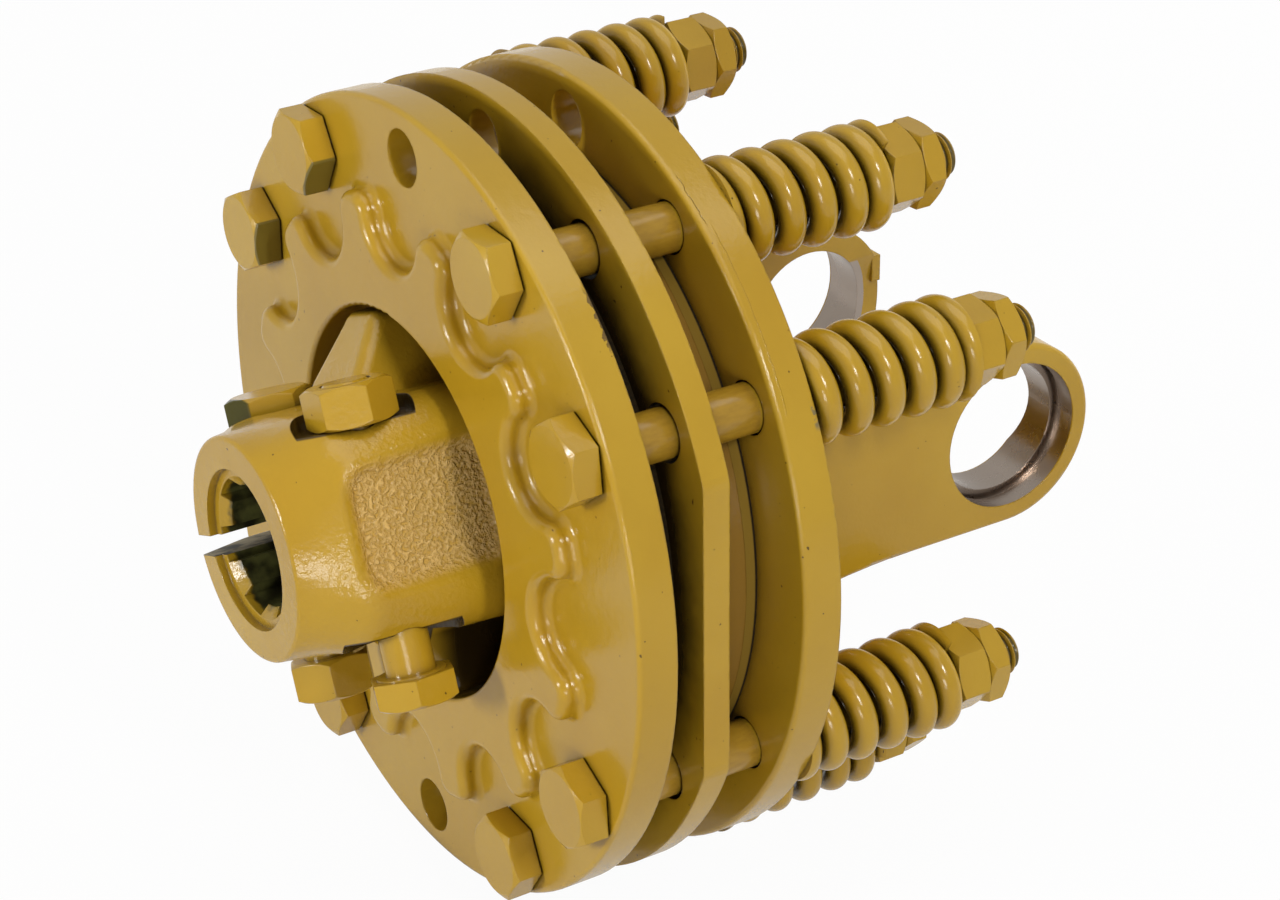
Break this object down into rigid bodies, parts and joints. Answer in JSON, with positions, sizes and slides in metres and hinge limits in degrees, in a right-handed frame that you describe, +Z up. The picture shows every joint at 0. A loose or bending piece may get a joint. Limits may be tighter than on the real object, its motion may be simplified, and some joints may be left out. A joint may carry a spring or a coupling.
{
  "type": "friction torque limiter",
  "caption": "Drive shaft overload clutch: splined clamp hub, spring-loaded plate pack with long bolts, and a flange yoke with bored ears.",
  "frame": {"origin": "on the clutch axis, inside the splined bore, at the front plate's back face", "axes": "+X along the clutch axis from the hub to the yoke, +Y along the yoke's ear bores, +Z up as pictured"},
  "size_m": [0.2112, 0.2, 0.2],
  "materials": {
    "painted_forging": "semi-gloss ochre paint on forged steel",
    "painted_plate": "semi-gloss ochre paint on rolled plate",
    "painted_fastener": "ochre paint over bolts and nuts",
    "painted_spring": "ochre paint over spring wire",
    "bare_plate": "dark bare steel",
    "friction_lining": "matt moulded friction lining",
    "bush_bronze": "plain bearing bronze"
  },
  "bodies": {
    "hub_side": {"hub": "painted_forging", "drive_plate": "bare_plate", "friction_disc_1": "friction_lining", "friction_disc_2": "friction_lining", "friction_disc_3": "friction_lining", "friction_disc_4": "friction_lining", "clamp_bolt_1": "painted_fastener", "clamp_bolt_2": "painted_fastener", "clamp_nut_1": "painted_fastener", "clamp_nut_2": "painted_fastener"},
    "yoke_side": {"front_plate": "painted_forging", "middle_plate": "painted_plate", "flange_yoke": "painted_forging", "centre_bush": "bush_bronze", "clutch_bolt_1": "painted_fastener", "clutch_bolt_2": "painted_fastener", "clutch_bolt_3": "painted_fastener", "clutch_bolt_4": "painted_fastener", "clutch_bolt_5": "painted_fastener", "clutch_bolt_6": "painted_fastener", "clutch_bolt_7": "painted_fastener", "clutch_bolt_8": "painted_fastener", "spring_1": "painted_spring", "spring_2": "painted_spring", "spring_3": "painted_spring", "spring_4": "painted_spring", "spring_5": "painted_spring", "spring_6": "painted_spring", "spring_7": "painted_spring", "spring_8": "painted_spring", "spring_nut_1": "painted_fastener", "spring_nut_2": "painted_fastener", "spring_nut_3": "painted_fastener", "spring_nut_4": "painted_fastener", "spring_nut_5": "painted_fastener", "spring_nut_6": "painted_fastener", "spring_nut_7": "painted_fastener", "spring_nut_8": "painted_fastener", "jam_nut_1": "painted_fastener", "jam_nut_2": "painted_fastener", "jam_nut_3": "painted_fastener", "jam_nut_4": "painted_fastener", "jam_nut_5": "painted_fastener", "jam_nut_6": "painted_fastener", "jam_nut_7": "painted_fastener", "jam_nut_8": "painted_fastener"}
  },
  "joints": [
    {"name": "clutch_slip", "type": "hinge", "parent": "hub_side", "child": "yoke_side", "pos_m": [0, 0, 0], "axis": [1, 0, 0], "continuous": true}
  ]
}
